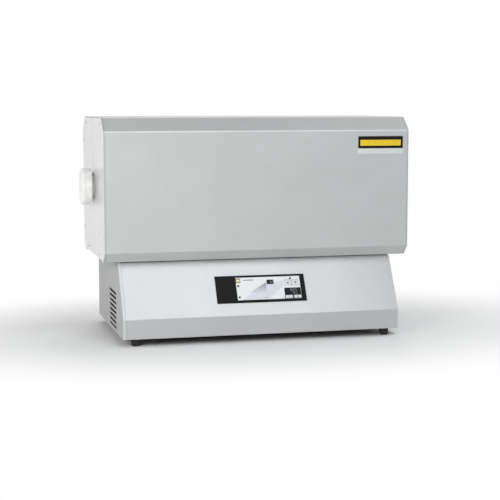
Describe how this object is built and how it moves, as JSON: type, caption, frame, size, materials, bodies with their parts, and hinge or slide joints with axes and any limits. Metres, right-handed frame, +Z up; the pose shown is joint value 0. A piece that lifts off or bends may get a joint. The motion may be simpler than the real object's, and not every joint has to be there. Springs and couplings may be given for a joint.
{
  "type": "bench tube furnace",
  "caption": "Bench furnace with a long chamfered steel housing round a horizontal ceramic tube, on a base with a sloping front and controller.",
  "frame": {"origin": "on the bench, under the middle of the whole furnace", "axes": "+X along the working tube to the right end, +Y to the rear, +Z up"},
  "size_m": [0.7036, 0.352, 0.461],
  "materials": {
    "housing_steel": "fine textured stainless sheet, satin",
    "end_panel_steel": "smooth stainless sheet, half bright",
    "base_steel": "fine textured stainless sheet, satin",
    "zinc_steel": "zinc-plated sheet",
    "liner_steel": "plain rolled sheet",
    "fibre_board": "vacuum-formed fibre, matt",
    "plug_fibre": "vacuum-formed fibre, matt",
    "tube_ceramic": "unglazed sintered ceramic",
    "heater_alloy": "oxidised resistance alloy",
    "brass": "turned brass",
    "head_casting": "cast aluminium",
    "screw_steel": "stainless screw",
    "black_rubber": "moulded rubber",
    "black_plastic": "moulded plastic with a fine grain",
    "rocker_plastic": "moulded plastic",
    "keypad_foil": "printed polyester foil",
    "key_plastic": "printed key caps",
    "dark_window": "tinted window",
    "lamp_plastic": "tinted lamp lens",
    "pin_metal": "nickel-plated brass",
    "sink_aluminium": "extruded aluminium",
    "relay_plastic": "moulded plastic",
    "plate_enamel": "plain enamelled plate"
  },
  "bodies": {
    "root": {"base_cover": "base_steel", "base_pan": "zinc_steel", "base_rear_panel": "base_steel", "cable_grommet": "black_rubber", "contactor": "black_plastic", "controller_bezel": "black_plastic", "controller_body": "black_plastic", "display_window": "dark_window", "end_panel_screws": "screw_steel", "foot_front_left": "black_rubber", "foot_front_right": "black_rubber", "foot_rear_left": "black_rubber", "foot_rear_right": "black_rubber", "foot_screws": "screw_steel", "front_panel": "base_steel", "fuse_holders": "black_plastic", "heat_sink": "sink_aluminium", "heater_bushes": "tube_ceramic", "heater_connectors": "brass", "heater_lower": "heater_alloy", "heater_upper": "heater_alloy", "housing_gasket": "black_rubber", "housing_tray": "zinc_steel", "housing_wrap": "housing_steel", "indicator_lenses": "lamp_plastic", "inlet_housing": "black_plastic", "inlet_pins": "pin_metal", "inner_liner": "liner_steel", "insulation_lower": "fibre_board", "insulation_upper": "fibre_board", "keypad_foil": "keypad_foil", "left_end_frame": "zinc_steel", "left_end_panel_front": "end_panel_steel", "left_end_panel_rear": "end_panel_steel", "left_tube_collar": "fibre_board", "liner_end_plates": "liner_steel", "liner_supports": "zinc_steel", "name_plate": "plate_enamel", "rear_cover": "housing_steel", "rear_cover_screws": "screw_steel", "rear_panel_screws": "screw_steel", "right_end_frame": "zinc_steel", "right_end_panel_front": "end_panel_steel", "right_end_panel_rear": "end_panel_steel", "right_tube_collar": "fibre_board", "solid_state_relay": "relay_plastic", "status_window": "dark_window", "supply_cable": "black_rubber", "switch_frame": "black_plastic", "terminal_strip": "relay_plastic", "thermocouple_head": "head_casting", "thermocouple_sheath": "tube_ceramic"},
    "working_tube": {"working_tube": "tube_ceramic"},
    "left_plug": {"left_plug": "plug_fibre"},
    "right_plug": {"right_plug": "plug_fibre"},
    "switch_rocker": {"switch_rocker": "rocker_plastic"},
    "key_up": {"key_up": "key_plastic"},
    "key_down": {"key_down": "key_plastic"},
    "key_enter": {"key_enter": "key_plastic"},
    "key_page": {"key_page": "key_plastic"}
  },
  "joints": [
    {"name": "tube_slide", "type": "slide", "parent": "root", "child": "working_tube", "axis": [1, 0, 0], "range_m": [0, 0.6]},
    {"name": "left_plug_pull", "type": "slide", "parent": "root", "child": "left_plug", "axis": [-1, 0, 0], "range_m": [0, 0.1]},
    {"name": "right_plug_pull", "type": "slide", "parent": "working_tube", "child": "right_plug", "axis": [1, 0, 0], "range_m": [0, 0.1]},
    {"name": "rocker_tilt", "type": "hinge", "parent": "root", "child": "switch_rocker", "pos_m": [-0.15, 0.168, 0.067], "axis": [1, 0, 0], "range_deg": [0, 16]},
    {"name": "key_up_press", "type": "slide", "parent": "root", "child": "key_up", "axis": [0, 0.8712, -0.491], "range_m": [0, 0.0005], "stiffness_N_per_m": 2500, "springref_m": -0.0004},
    {"name": "key_down_press", "type": "slide", "parent": "root", "child": "key_down", "axis": [0, 0.8712, -0.491], "range_m": [0, 0.0005], "stiffness_N_per_m": 2500, "springref_m": -0.0004},
    {"name": "key_enter_press", "type": "slide", "parent": "root", "child": "key_enter", "axis": [0, 0.8712, -0.491], "range_m": [0, 0.0005], "stiffness_N_per_m": 2500, "springref_m": -0.0004},
    {"name": "key_page_press", "type": "slide", "parent": "root", "child": "key_page", "axis": [0, 0.8712, -0.491], "range_m": [0, 0.0005], "stiffness_N_per_m": 2500, "springref_m": -0.0004}
  ]
}
